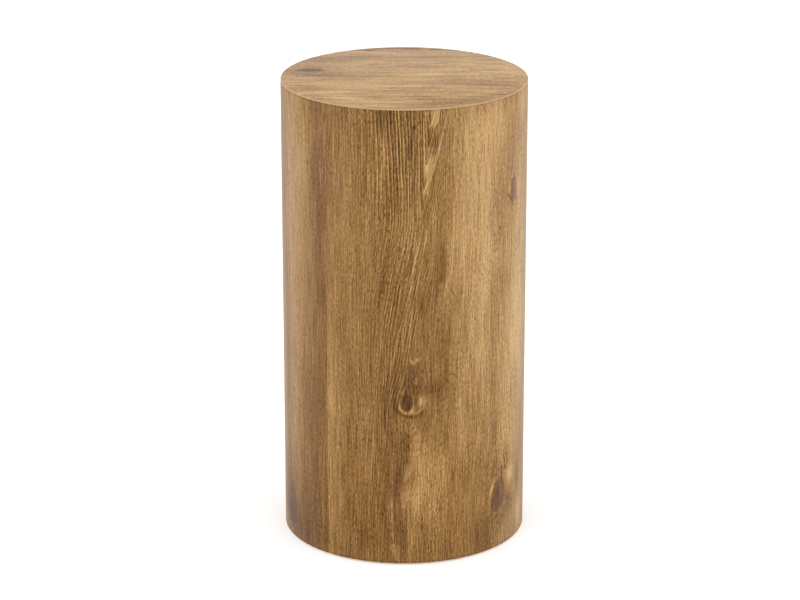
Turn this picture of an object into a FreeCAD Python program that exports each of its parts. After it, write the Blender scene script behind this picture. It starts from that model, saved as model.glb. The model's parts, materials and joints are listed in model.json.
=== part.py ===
"""Drum side table: a kerf-bent wall glued round a spool frame and dressed in wood-grain laminate.

Lengths are in millimetres. +Z is up, the origin is on the floor under the drum's axis, and the
front of the table faces -Y. The laminate and the wall both close in a butt seam at the back, +Y.
"""
import FreeCAD
import Part
import math
import os

from FreeCAD import Vector

# Overall size
drum_diameter = 260.0
drum_height = 500.0

# Laminates
top_laminate_thickness = 1.2
top_bevel = 0.8
side_laminate_thickness = 0.6
side_seam_gap = 0.3

# Kerf-bent wall: saw kerfs across the back of the board let it bend, and close up as it does
wall_thickness = 12.0
wall_seam_gap = 0.3
kerf_count = 48
kerf_width = 3.0
kerf_skin = 2.5

# Panels that close the two ends
top_panel_thickness = 18.0
base_panel_thickness = 18.0
base_recess = 2.0
glue_clearance = 0.2

# Spool frame inside the wall
former_thickness = 15.0
post_width = 28.0
post_chamfer = 2.0
post_setback = 14.0
panel_housing = 5.0
former_housing = 4.0
seam_batten_width = 40.0
seam_batten_thickness = 16.0
housing_clearance = 0.2

# Screws up through the base panel into the posts
base_screw_diameter = 6.4
base_screw_length = 50.0
base_screw_head_diameter = 10.0
base_screw_head_height = 3.0
base_screw_socket_width = 4.0
base_screw_socket_depth = 2.5
fastener_clearance = 0.05

# Drive-on glides under the base panel, each moulded over the end of its steel pin
glide_diameter = 20.0
glide_thickness = 4.0
glide_margin = 8.0
pin_diameter = 2.5
pin_bite = 13.0
pin_cover = 1.5

# How far a cutting shape runs past the face that it cuts
cut_overrun = 1.0

# Repeated pieces, in order from +X round to the left seen from above, and from the floor upwards
post_names = ["back_right", "back_left", "front_left", "front_right"]
glide_names = ["right", "back", "left", "front"]
former_names = ["lower", "upper"]

# Radii, from the laminate inwards
drum_radius = drum_diameter / 2
wall_radius = drum_radius - side_laminate_thickness
wall_bore_radius = wall_radius - wall_thickness
kerf_root_radius = wall_radius - kerf_skin
panel_radius = wall_bore_radius - glue_clearance
post_outer_face = wall_bore_radius - post_setback
post_axis_radius = post_outer_face - post_width / 2
post_inner_face = post_outer_face - post_width
batten_inner_face = panel_radius - seam_batten_thickness
glide_radius = glide_diameter / 2
glide_axis_radius = wall_bore_radius - glide_margin - glide_radius

# Levels, from the floor upwards
base_underside = glide_thickness
wall_foot = base_underside - base_recess
base_top = base_underside + base_panel_thickness
wall_head = drum_height - top_laminate_thickness
top_panel_underside = wall_head - top_panel_thickness
post_foot = base_top - panel_housing
post_head = top_panel_underside + panel_housing
frame_height = top_panel_underside - base_top
former_pitch = frame_height / (len(former_names) + 1)
former_levels = [base_top + former_pitch * (n + 1) for n in range(len(former_names))]

# Angles about the drum's axis, in degrees from +X
quarter_turn = 90.0
post_angles = [360.0 / len(post_names) * (n + 0.5) for n in range(len(post_names))]
glide_angles = [360.0 / len(glide_names) * n for n in range(len(glide_names))]


def placed(shape, radius, angle, level):
    """A copy of the shape, moved out along X, lifted, and then swung round the drum's axis."""
    moved = shape.copy()
    moved.translate(Vector(radius, 0, level))
    moved.rotate(Vector(), Vector(0, 0, 1), angle)
    return moved


def turned(profile):
    """A solid turned about Z from (radius, height) points."""
    corners = [Vector(radius, 0, height) for radius, height in profile]
    outline = Part.makePolygon(corners + corners[:1])
    return Part.Face(outline).revolve(Vector(), Vector(0, 0, 1), 360)


def from_back(radius, angle):
    """A point at that radius and angle, in radians, counted from the seam at the back."""
    return Vector(-radius * math.sin(angle), radius * math.cos(angle), 0)


def arc_from_back(radius, start, end):
    """An arc about the drum's axis between two angles counted from the seam."""
    middle = (start + end) / 2
    points = [from_back(radius, angle) for angle in (start, middle, end)]
    return Part.Arc(*points).toShape()


def chord_angle(width, radius):
    """Half of the angle that a chord of that width takes up at that radius."""
    return math.asin(width / 2 / radius)


def upright(edges, bottom, top):
    """A solid of constant section between two levels, from the edges of its outline in order."""
    outline = Part.Wire(Part.__sortEdges__(edges))
    section = Part.Face(outline)
    section.translate(Vector(0, 0, bottom))
    return section.extrude(Vector(0, 0, top - bottom))


def split_ring(outer, inner_edges, inner, gap, bottom, top):
    """A wall round the drum that stays open by a narrow gap at the back."""
    open_outer = chord_angle(gap, outer)
    open_inner = chord_angle(gap, inner)
    turn = 2 * math.pi
    edges = list(inner_edges)
    edges.append(Part.makeLine(from_back(inner, turn - open_inner), from_back(outer, turn - open_outer)))
    edges.append(arc_from_back(outer, open_outer, turn - open_outer))
    edges.append(Part.makeLine(from_back(outer, open_outer), from_back(inner, open_inner)))
    return upright(edges, bottom, top)


def side_laminate():
    """The wood-grain sheet rolled round the wall."""
    gap_angle = chord_angle(side_seam_gap, wall_radius)
    inside = [arc_from_back(wall_radius, gap_angle, 2 * math.pi - gap_angle)]
    return split_ring(drum_radius, inside, wall_radius, side_seam_gap, wall_foot, wall_head)


def top_laminate():
    """The wood-grain disc over the top, with a bevel that eases its rim."""
    return turned([
        (0, wall_head),
        (drum_radius, wall_head),
        (drum_radius, drum_height - top_bevel),
        (drum_radius - top_bevel, drum_height),
        (0, drum_height),
    ])


def drum_wall():
    """The bent board. Each kerf keeps its width at the root and has closed up at the mouth."""
    pitch = 2 * math.pi / kerf_count
    closed_by = pitch * (kerf_root_radius - wall_bore_radius)
    mouth = chord_angle(kerf_width - closed_by, wall_bore_radius)
    root = chord_angle(kerf_width, kerf_root_radius)
    gap_angle = chord_angle(wall_seam_gap, wall_bore_radius)
    edges = []
    land_start = gap_angle
    for n in range(kerf_count):
        kerf = pitch * (n + 0.5)
        near_mouth = from_back(wall_bore_radius, kerf - mouth)
        far_mouth = from_back(wall_bore_radius, kerf + mouth)
        edges.append(arc_from_back(wall_bore_radius, land_start, kerf - mouth))
        edges.append(Part.makeLine(near_mouth, from_back(kerf_root_radius, kerf - root)))
        edges.append(arc_from_back(kerf_root_radius, kerf - root, kerf + root))
        edges.append(Part.makeLine(from_back(kerf_root_radius, kerf + root), far_mouth))
        land_start = kerf + mouth
    edges.append(arc_from_back(wall_bore_radius, land_start, 2 * math.pi - gap_angle))
    return split_ring(wall_radius, edges, wall_bore_radius, wall_seam_gap, wall_foot, wall_head)


def base_screw(clearance=0.0, lead=0.0):
    """A countersunk screw up from its head at z = 0, or with a clearance and a lead its hole."""
    head = base_screw_head_diameter / 2 + clearance
    shank = base_screw_diameter / 2 + clearance
    return turned([
        (0, -lead),
        (head, -lead),
        (head, 0),
        (shank, base_screw_head_height),
        (shank, base_screw_length),
        (0, base_screw_length),
    ])


def key_socket():
    """The six-sided recess for a key, cut up from the screw's head."""
    corner = base_screw_socket_width / math.sqrt(3)
    corners = [Vector(corner, 0, 0)]
    for n in range(6):
        turned_corner = FreeCAD.Rotation(Vector(0, 0, 1), 60.0 * (n + 1)).multVec(corners[0])
        corners.append(turned_corner)
    section = Part.Face(Part.makePolygon(corners))
    section.translate(Vector(0, 0, -cut_overrun))
    return section.extrude(Vector(0, 0, base_screw_socket_depth + cut_overrun))


def at_posts(shape, level):
    """Copies of the shape on the axes of the posts."""
    return [placed(shape, post_axis_radius, angle, level) for angle in post_angles]


def post_pockets(bottom):
    """Square pockets that house the ends of the posts, from that level up."""
    width = post_width + 2 * housing_clearance
    depth = panel_housing + cut_overrun
    return at_posts(Part.makeBox(width, width, depth, Vector(-width / 2, -width / 2, 0)), bottom)


def post(angle):
    """A square post of the spool, cut back where each former is let into its outer face."""
    half = post_width / 2
    bar = Part.makeBox(post_width, post_width, post_head - post_foot, Vector(-half, -half, 0))
    boxes = [(edge, edge.BoundBox) for edge in bar.Edges]
    long_edges = [edge for edge, box in boxes if box.ZLength > box.XLength + box.YLength]
    bar = placed(bar.makeChamfer(post_chamfer, long_edges), post_axis_radius, angle, post_foot)
    room = former_thickness + 2 * housing_clearance
    housing = Part.makeBox(
        former_housing + cut_overrun, post_width, room,
        Vector(post_outer_face - former_housing, -half, -room / 2),
    )
    cuts = [placed(housing, 0, angle, level) for level in former_levels]
    screw_hole = base_screw(fastener_clearance, cut_overrun)
    cuts.append(placed(screw_hole, post_axis_radius, angle, base_underside))
    return bar.cut(cuts)


def former(level):
    """A ring that keeps the wall round, notched for the posts and for the seam batten."""
    bottom = Vector(0, 0, level - former_thickness / 2)
    ring = Part.makeCylinder(panel_radius, former_thickness, bottom)
    cuts = [Part.makeCylinder(post_inner_face, former_thickness, bottom)]
    notch_width = post_width + 2 * housing_clearance
    notch_reach = post_outer_face - former_housing + housing_clearance
    notch = Part.makeBox(notch_reach, notch_width, former_thickness, Vector(0, -notch_width / 2, 0))
    for angle in post_angles:
        cuts.append(placed(notch, 0, angle, bottom.z))
    batten_room = seam_batten_width + 2 * housing_clearance
    batten_side = batten_inner_face - housing_clearance
    batten_notch = Part.makeBox(
        drum_radius - batten_side, batten_room, former_thickness,
        Vector(batten_side, -batten_room / 2, 0),
    )
    cuts.append(placed(batten_notch, 0, quarter_turn, bottom.z))
    return ring.cut(cuts)


def top_panel():
    """The disc under the top laminate, with pockets for the heads of the posts."""
    disc = Part.makeCylinder(panel_radius, top_panel_thickness, Vector(0, 0, top_panel_underside))
    return disc.cut(post_pockets(top_panel_underside - cut_overrun))


def glide_places(shape):
    """Copies of the shape at the glides."""
    return [placed(shape, glide_axis_radius, angle, 0) for angle in glide_angles]


def base_panel():
    """The disc that closes the drum below, countersunk for its screws and drilled for the pins."""
    disc = Part.makeCylinder(panel_radius, base_panel_thickness, Vector(0, 0, base_underside))
    screw_holes = at_posts(base_screw(fastener_clearance, cut_overrun), base_underside)
    pin_holes = glide_places(pin(fastener_clearance))
    return disc.cut(post_pockets(post_foot) + screw_holes + pin_holes)


def seam_batten():
    """The strip glued behind the wall's seam, rounded on its outer face to the wall's bore."""
    half_angle = chord_angle(seam_batten_width, panel_radius)
    left = from_back(panel_radius, half_angle)
    right = from_back(panel_radius, -half_angle)
    inner_left = Vector(left.x, batten_inner_face, 0)
    inner_right = Vector(right.x, batten_inner_face, 0)
    edges = [
        arc_from_back(panel_radius, -half_angle, half_angle),
        Part.makeLine(left, inner_left),
        Part.makeLine(inner_left, inner_right),
        Part.makeLine(inner_right, right),
    ]
    return upright(edges, base_top, top_panel_underside)


def pin(clearance=0.0):
    """The steel pin of a glide, driven up, with the floor at z = 0."""
    length = base_underside + pin_bite - pin_cover
    return Part.makeCylinder(pin_diameter / 2 + clearance, length, Vector(0, 0, pin_cover))


def glide():
    """A round plastic glide, moulded over the end of its pin."""
    return Part.makeCylinder(glide_radius, glide_thickness).cut(pin(fastener_clearance))


def base_screws():
    """The screws of the base, each with its key socket."""
    return Part.makeCompound(at_posts(base_screw().cut(key_socket()), base_underside))


def drum_table():
    """Every piece of the table, by the name of its node."""
    pieces = {
        "top_laminate": top_laminate(),
        "side_laminate": side_laminate(),
        "drum_wall": drum_wall(),
        "seam_batten": seam_batten(),
        "top_panel": top_panel(),
        "base_panel": base_panel(),
        "base_screws": base_screws(),
        "glide_pins": Part.makeCompound(glide_places(pin())),
    }
    for name, level in zip(former_names, former_levels):
        pieces[f"{name}_former"] = former(level)
    for name, angle in zip(post_names, post_angles):
        pieces[f"post_{name}"] = post(angle)
    for name, place in zip(glide_names, glide_places(glide())):
        pieces[f"glide_{name}"] = place
    return pieces


def main():
    os.makedirs("parts", exist_ok=True)
    for name, shape in drum_table().items():
        shape.exportStep(f"parts/{name}.step")


main()
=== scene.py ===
"""Drum side table in printed wood laminate.

The sheet round the side, the disc on the top and the feet of the glides are modelled here, round the
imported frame. The other pieces come with the frame and get their finishes here.
"""

import json
import math
from collections import namedtuple

import bpy
from bpy.props import FloatProperty, FloatVectorProperty, IntProperty, PointerProperty
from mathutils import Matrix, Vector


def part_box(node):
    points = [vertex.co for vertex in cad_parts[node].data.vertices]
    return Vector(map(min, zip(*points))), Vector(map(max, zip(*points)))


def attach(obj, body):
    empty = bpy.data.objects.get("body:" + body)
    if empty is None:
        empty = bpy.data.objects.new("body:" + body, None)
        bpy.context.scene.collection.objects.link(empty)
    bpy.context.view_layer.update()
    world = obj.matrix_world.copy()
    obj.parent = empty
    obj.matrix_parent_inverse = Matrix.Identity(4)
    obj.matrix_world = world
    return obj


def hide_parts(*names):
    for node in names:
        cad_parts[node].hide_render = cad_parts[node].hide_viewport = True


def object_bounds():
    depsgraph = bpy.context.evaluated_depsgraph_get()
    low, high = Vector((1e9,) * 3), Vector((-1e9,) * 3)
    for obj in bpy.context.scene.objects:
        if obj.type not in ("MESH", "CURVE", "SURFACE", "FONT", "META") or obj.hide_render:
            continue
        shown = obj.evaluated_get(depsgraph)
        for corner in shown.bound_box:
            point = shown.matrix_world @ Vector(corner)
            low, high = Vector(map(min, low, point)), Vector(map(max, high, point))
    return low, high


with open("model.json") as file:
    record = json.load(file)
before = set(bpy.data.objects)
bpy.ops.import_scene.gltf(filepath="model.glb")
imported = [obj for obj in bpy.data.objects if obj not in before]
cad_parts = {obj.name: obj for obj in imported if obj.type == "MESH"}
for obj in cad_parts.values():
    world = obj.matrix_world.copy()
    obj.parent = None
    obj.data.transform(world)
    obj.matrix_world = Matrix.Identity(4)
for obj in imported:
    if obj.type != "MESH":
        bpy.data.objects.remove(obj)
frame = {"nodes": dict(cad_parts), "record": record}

bl_info = {
    "name": "Drum side table",
    "version": (1, 0, 0),
    "blender": (4, 5, 0),
    "location": "View3D > Sidebar > Drum table",
    "description": "Dresses a drum side table in printed wood laminate and sets a plain studio round it",
    "category": "Object",
}

# Places and sizes that the frame gives, in metres

CAD_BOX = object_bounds()
SIDE_LOW, SIDE_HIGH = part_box("side_laminate")
TOP_LOW, TOP_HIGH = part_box("top_laminate")
GLIDE_NODES = ("glide_front", "glide_right", "glide_back", "glide_left")
DRUM_RADIUS = CAD_BOX[1].x
MM = 0.001

# Names of the side print's map and of the body that everything rides on

SHEET_MAP = "sheet"
BODY = "root"


# Shader maths. A soft mark has its rim share at its half size, and the gain spreads noise about 0.

RIM_SHARE = math.exp(-1.0)
NOISE_GAIN = 3.0


class Value:
    """A value that varies over a surface. Arithmetic on it adds Math nodes to its finish."""

    def __init__(self, finish, socket):
        self.finish = finish
        self.socket = socket

    def all_outlets(self):
        """The values of all outlets of the node that this value comes from."""
        return [Value(self.finish, outlet) for outlet in self.socket.node.outputs]

    def __add__(self, other):
        return self.finish.math("ADD", self, other)

    def __radd__(self, other):
        return self.finish.math("ADD", other, self)

    def __sub__(self, other):
        return self.finish.math("SUBTRACT", self, other)

    def __rsub__(self, other):
        return self.finish.math("SUBTRACT", other, self)

    def __mul__(self, other):
        return self.finish.math("MULTIPLY", self, other)

    def __rmul__(self, other):
        return self.finish.math("MULTIPLY", other, self)

    def __truediv__(self, other):
        return self.finish.math("DIVIDE", self, other)

    def __rtruediv__(self, other):
        return self.finish.math("DIVIDE", other, self)

    def __rpow__(self, other):
        return self.finish.math("POWER", other, self)


class Finish:
    """The node tree of one material, or of the world."""

    def __init__(self, name, kind="materials"):
        self.owner = getattr(bpy.data, kind).new(name)
        self.owner.use_nodes = True
        self.tree = self.owner.node_tree
        self.tree.nodes.clear()

    def node(self, kind, settings=None, sockets=None, outlet=0):
        """Adds a node, gives it its settings, then its sockets' values or links, and returns one outlet."""
        made = self.tree.nodes.new(kind)
        for key, value in (settings or {}).items():
            if key == "stops":
                set_stops(made.color_ramp.elements, value)
            else:
                setattr(made, key, value)
        for key, value in (sockets or {}).items():
            if isinstance(value, Value):
                self.tree.links.new(value.socket, made.inputs[key])
            else:
                made.inputs[key].default_value = value
        return Value(self, made.outputs[outlet]) if made.outputs else None

    def math(self, operation, *values):
        return self.node("ShaderNodeMath", {"operation": operation}, dict(enumerate(values)))

    def ease(self, value, start, end):
        """0 at start, 1 at end and smooth between them. The start may be the larger."""
        sockets = {"Value": value, "From Min": start, "From Max": end}
        return self.node("ShaderNodeMapRange", {"interpolation_type": "SMOOTHSTEP"}, sockets)

    def point(self, x, y, z=0.0):
        return self.node("ShaderNodeCombineXYZ", sockets={"X": x, "Y": y, "Z": z})

    def split(self, vector):
        return self.node("ShaderNodeSeparateXYZ", sockets={"Vector": vector}).all_outlets()

    def blend(self, share, first, second):
        """A colour from first, at a share of 0, to second, at a share of 1."""
        settings = {"data_type": "RGBA", "clamp_factor": True}
        return self.node("ShaderNodeMix", settings, {0: share, 6: first, 7: second}, outlet=2)

    def noise(self, place, size, seed, detail=2.0):
        """Noise from about -1 to 1. The size is that of one blotch, along two axes or three."""
        scale = [1.0 / length for length in size]
        moved = {"Vector": place, "Location": (seed, seed, seed), "Scale": (*scale, 1.0)[:3]}
        spread = self.node("ShaderNodeMapping", {"vector_type": "POINT"}, moved)
        sockets = {"Vector": spread, "Scale": 1.0, "Detail": detail}
        grey = self.node("ShaderNodeTexNoise", {"noise_dimensions": f"{len(size)}D"}, sockets)
        return grey * NOISE_GAIN - NOISE_GAIN / 2

    def weigh(self, value, factor, added):
        return self.math("MULTIPLY_ADD", value, factor, added)

    def from_middle(self, place, mark):
        """The square of a place's distance from the middle of a leaning oval mark, in its half sizes."""
        across, along = place
        turn = math.radians(mark.lean)
        square = 0.0
        for size, share_across, share_along in (
            (mark.half_width, math.cos(turn), -math.sin(turn)),
            (mark.half_length, math.sin(turn), math.cos(turn)),
        ):
            part = -(mark.across * share_across + mark.along * share_along) / size
            for value, share in ((across, share_across), (along, share_along)):
                if share:
                    part = self.weigh(value, share / size, part)
            square = self.weigh(part, part, square)
        return square

    def spot(self, place, mark):
        """A soft leaning oval: 1 in its middle and RIM_SHARE at its half width and half length."""
        return RIM_SHARE ** self.from_middle(place, mark)

    def band(self, value, middle, half_width):
        """A soft band along one value: 1 in its middle and RIM_SHARE at its half width."""
        off = (value - middle) / half_width
        return RIM_SHARE ** (off * off)

    def grouped(self, name, work, values, marks):
        """The results of some work on values and marks, done in a node group of its own."""
        group = Group(name, len(values))
        group.close(work(group, group.inlets, marks))
        made = self.node("ShaderNodeGroup", {"node_tree": group.tree}, dict(enumerate(values)))
        return made.all_outlets()

    def bump(self, height, depth):
        return self.node("ShaderNodeBump", sockets={"Height": height, "Distance": depth})

    def surface(self, colour, roughness, normal=None, **constants):
        """Ends the tree in a Principled surface and returns the material."""
        sockets = {"Base Color": colour, "Roughness": roughness}
        if normal is not None:
            sockets["Normal"] = normal
        sockets.update(constants)
        shader = self.node("ShaderNodeBsdfPrincipled", sockets=sockets)
        self.node("ShaderNodeOutputMaterial", sockets={"Surface": shader})
        return self.owner


class Group(Finish):
    """A node group that works on a few values. Many small trees build more quickly than one large tree."""

    def __init__(self, name, count):
        self.tree = bpy.data.node_groups.new(name, "ShaderNodeTree")
        self.add_sockets("INPUT", count)
        self.inlets = self.node("NodeGroupInput").all_outlets()[:count]

    def add_sockets(self, side, count):
        for number in range(count):
            name = f"{side.title()} {number}"
            self.tree.interface.new_socket(name, in_out=side, socket_type="NodeSocketFloat")

    def close(self, results):
        self.add_sockets("OUTPUT", len(results))
        self.node("NodeGroupOutput", sockets=dict(enumerate(results)))


def set_stops(elements, stops):
    """Gives a colour ramp its stops, each a place from 0 to 1 and a colour."""
    while len(elements) < len(stops):
        elements.new(1.0)
    for element, (place, colour) in zip(elements, stops):
        element.position = place
        element.color = (*colour, 1.0)


def linear(red, green, blue):
    """The linear colour of a colour as a screen shows it, each part from 0 to 255."""
    colour = []
    for part in (red, green, blue):
        share = part / 255.0
        colour.append(share / 12.92 if share <= 0.04045 else ((share + 0.055) / 1.055) ** 2.4)
    return tuple(colour)


def solid(colour, shade=1.0):
    """A colour, or a lighter or darker shade of it, as a socket takes it."""
    return (*(part * shade for part in colour), 1.0)


# Settings that a user would change


def colour_setting(name, description, default):
    return FloatVectorProperty(
        name=name, description=description, default=default, subtype="COLOR", size=3, min=0.0, max=1.0
    )


def number_setting(name, description, default, **more):
    return FloatProperty(name=name, description=description, default=default, **more)


def length_setting(name, description, default):
    return number_setting(name, description, default, unit="LENGTH", min=0.0)


def count_setting(name, description, default, least):
    return IntProperty(name=name, description=description, default=default, min=least)


class WoodColours(bpy.types.PropertyGroup):
    """Colours of the printed wood, from the heart of a knot to the palest grain."""

    knot: colour_setting("Knot", "Heart of a knot", linear(68, 38, 8))
    deep: colour_setting("Deep grain", "Darkest grain lines", linear(103, 66, 16))
    dark: colour_setting("Dark grain", "Dark streaks", linear(125, 87, 36))
    middle: colour_setting("Middle grain", "Most of the wood", linear(153, 114, 63))
    light: colour_setting("Light grain", "Light streaks", linear(187, 147, 90))
    pale: colour_setting("Pale grain", "Lightest streaks", linear(215, 178, 122))
    stain: colour_setting("Stain", "Dull brown bands and knots", linear(134, 95, 60))
    stain_deep: colour_setting("Deep stain", "Hearts of dull knots", linear(82, 49, 20))
    dull: colour_setting("Dull", "Light dull wood", linear(192, 157, 120))
    # The core colour is partly the laminate's cut edge and partly a painted highlight that the top's rim
    # catches
    core: colour_setting("Core", "Cut edge of the top's laminate", linear(192, 160, 124))


class InnerColours(bpy.types.PropertyGroup):
    """Colours of the pieces under the laminate."""

    fibreboard: colour_setting("Fibreboard", "Raw fibreboard", linear(170, 137, 100))
    softwood: colour_setting("Softwood", "Planed softwood", linear(214, 181, 138))
    softwood_ring: colour_setting("Softwood ring", "Late growth of the softwood", linear(186, 142, 92))
    zinc: colour_setting("Zinc", "Plated screws and pins", linear(200, 200, 196))
    glide: colour_setting("Glide", "Plastic of the glides", linear(74, 56, 44))


class SheetSizes(bpy.types.PropertyGroup):
    """Sizes of the sheet round the side."""

    thickness: length_setting("Thickness", "Thickness of the sheet", 0.6 * MM)
    seam_gap: length_setting("Seam gap", "Gap between the sheet's ends at the back", 0.3 * MM)
    edge_round: length_setting("Edge", "Rounding of the sheet's edges", 0.12 * MM)
    steps_round: count_setting("Steps round", "Faces round the drum", 360, 48)
    steps_up: count_setting("Steps up", "Faces from the foot to the rim", 8, 1)


class DiscSizes(bpy.types.PropertyGroup):
    """Sizes of the disc on the top."""

    bevel: length_setting("Bevel", "Width of the bevel round the rim", 0.8 * MM)
    steps_round: count_setting("Steps round", "Faces round the rim", 360, 48)


class GlideSizes(bpy.types.PropertyGroup):
    """Sizes of the feet of the glides."""

    rim_round: length_setting("Rim", "Rounding of the foot's rim", 1.0 * MM)
    dimple_radius: length_setting("Dimple", "Radius of the moulding dimple under the foot", 2.0 * MM)
    dimple_depth: length_setting("Dimple depth", "Depth of the moulding dimple", 0.4 * MM)


class StudioSettings(bpy.types.PropertyGroup):
    """The camera's place and the light."""

    camera_back: length_setting("Camera back", "Distance of the camera in front of the drum's axis", 3.1258)
    camera_up: length_setting("Camera up", "Height of the camera above the floor", 1.3132)
    camera_aside: number_setting("Camera aside", "Place left of the drum's axis", 0.00453, unit="LENGTH")
    camera_tilt: number_setting("Camera tilt", "Tilt below level", math.radians(18.736), subtype="ANGLE")
    camera_lens: number_setting("Lens", "Focal length", 138.206, unit="CAMERA", min=1.0)
    dome: number_setting("Dome", "Brightness of the soft light from all round", 0.96, min=0.0)
    key: number_setting("Key", "Brightness of the soft lamp on the right", 0.19, min=0.0)
    fill: number_setting("Fill", "Brightness of the soft lamp on the left", 0.19, min=0.0)
    floor: colour_setting("Floor", "Colour of the floor where it is seen", (0.90, 0.90, 0.90))
    bounce: colour_setting("Bounce", "Colour of the floor for the light it throws back", (0.60, 0.60, 0.60))
    floor_glow: number_setting("Floor glow", "Lift of the seen floor to white", 0.26, min=0.0)


class DrumTableSettings(bpy.types.PropertyGroup):
    """All settings of the drum side table."""

    wood: PointerProperty(type=WoodColours)
    inner: PointerProperty(type=InnerColours)
    sheet: PointerProperty(type=SheetSizes)
    disc: PointerProperty(type=DiscSizes)
    glide: PointerProperty(type=GlideSizes)
    studio: PointerProperty(type=StudioSettings)


# The print of the wood. Its places and sizes are in millimetres: across the grain and along it.

Stroke = namedtuple("Stroke", "across along half_width half_length tone stain lean", defaults=(0.0, 0.0))
Arch = namedtuple("Arch", "across along lean open half_width reach fill outline")
Knot = namedtuple("Knot", "across along half_width half_length lean core stain")
Crescent = namedtuple(
    "Crescent", "across along half_width half_length lean thickness side_across side_along reach tone"
)
Edge = namedtuple("Edge", "across low high lean wander reach tone")
Heart = namedtuple("Heart", "foot lean zones")


def table(kind, *rows):
    """Marks of one kind, each from a row of its numbers."""
    return [kind(*row) for row in rows]


# Soft strokes of the side: across from the middle of the front, along from the floor

SIDE_STROKES = table(
    Stroke,
    # Left: tan wood, with the dull band beside it and a dark corner at the foot
    (-146, 380, 24, 200, 0.24, 0.45),
    (-120, 428, 10, 40, 0.16, 0.2),
    (-110, 340, 12, 80, -0.02, 0.25),
    (-120, 160, 9, 100, -0.09),
    (-163, 250, 9, 240, -0.14, 0.2),
    (-150, 150, 26, 90, 0.04, 0.35),
    (-95, 450, 9, 80, -0.06, 0.65),
    (-96, 340, 7, 110, -0.14, 0.5),
    (-106, 130, 8, 130, -0.1, 0.5),
    (-125, 40, 18, 50, -0.17, 0.2),
    (-153, 36, 20, 34, -0.32, 0.6, -12),
    (-136, 46, 6, 26, 0.13, 0, -8),
    (-164, 22, 10, 20, -0.18, 0.2, -6),
    (-130, 12, 12, 12, -0.06),
    (-118, 16, 4, 22, -0.09),
    # Left of the middle: plain wood with a light stripe beside the plank's edge
    (-62, 350, 10, 80, 0.09),
    (-79, 195, 9, 45, 0.08),
    (-72, 490, 14, 18, -0.1, 0.15),
    (-74, 430, 9, 90, 0, 0.25),
    (-58, 80, 14, 90, -0.08),
    (-40, 492, 16, 30, -0.1),
    (-20, 488, 9, 20, -0.22),
    (15, 490, 7, 14, -0.1),
    (-40, 262, 9, 46, -0.12),
    (-40, 40, 11, 32, -0.09),
    (-50, 15, 70, 40, -0.06),
    # Middle: dark coarse grain above, knot and dark column below
    (-2, 455, 30, 75, -0.09, 0, 3),
    (-20, 320, 8, 30, -0.1, 0, 4),
    (-20, 382, 7, 34, -0.08, 0, 3),
    (2, 382, 9, 40, 0.09),
    (-40, 160, 8, 25, 0.08),
    (0, 312, 12, 36, -0.08, 0, 8),
    (-6, 215, 20, 60, -0.1, 0, 6),
    (37, 328, 7, 22, -0.12, 0.2, 4),
    (36, 200, 14, 20, -0.09, 0, 10),
    (-8, 190, 6, 16, -0.12, 0.1),
    (40, 240, 8, 30, -0.14),
    (20, 160, 8, 18, -0.1),
    (-22, 145, 12, 60, -0.13, 0.1),
    (-4, 118, 9, 28, -0.16, 0.25),
    (-8.5, 88, 7.5, 22, -0.16, 0.25),
    (6, 84, 3.5, 18, 0.06),
    (-5, 38, 7, 32, -0.16, 0.4),
    (-18, 34, 2.6, 34, -0.14, 0.1),
    (14, 110, 7, 34, 0.11),
    (13, 80, 8, 34, 0.2, 0, 8),
    (-22, 85, 6, 30, -0.07),
    (22, 275, 7, 50, -0.06, 0, 4),
    (35, 96, 13, 42, 0.15, 0, 5),
    # Right: the reddish wood beside the upper knot
    (151, 398, 4, 14, 0.12),
    (106, 376, 10, 30, -0.14, 0.25, 4),
    # Right: golden wood, lighter in some streaks, the long pale streak and the knot below
    (86, 400, 36, 120, 0.36, 0.18),
    (60, 345, 8, 40, 0.08),
    (78, 462, 14, 40, 0.08),
    (112, 482, 24, 30, 0.16, 0.15),
    (94, 250, 34, 90, 0.2, 0.15),
    (80, 90, 10, 40, 0.05),
    (80, 200, 8, 50, 0.06),
    (62, 170, 10, 50, 0.1),
    (124, 175, 16, 50, 0.13),
    (141, 115, 10, 24, 0.16),
    (140, 250, 16, 110, 0.3, 0, 2),
    (160, 320, 18, 240, 0.24, 0.2),
    (160, 488, 10, 25, 0.2),
    (161, 240, 9, 70, 0.1),
    (88, 20, 16, 30, -0.12),
    (128, 16, 15, 16, 0.12),
    (162, 190, 8, 30, 0.08),
    (121, 120, 9, 18, 0.17),
    (118, 440, 12, 30, 0.08),
    (122, 36, 10, 13, -0.08, 0.1),
    (101, 264, 8, 40, -0.12),
    (100, 38, 9, 16, -0.08, 0.1),
    (91, 73, 5, 10, -0.08, 0.2, 6),
    (138, 47, 7, 10, -0.14, 0.25),
    (156, 71, 6, 14, -0.26, 0.3, 6),
    (162, 26, 10, 22, 0.26),
    (143, 22, 10, 18, 0.1),
)

# Small clear marks of the side

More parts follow.
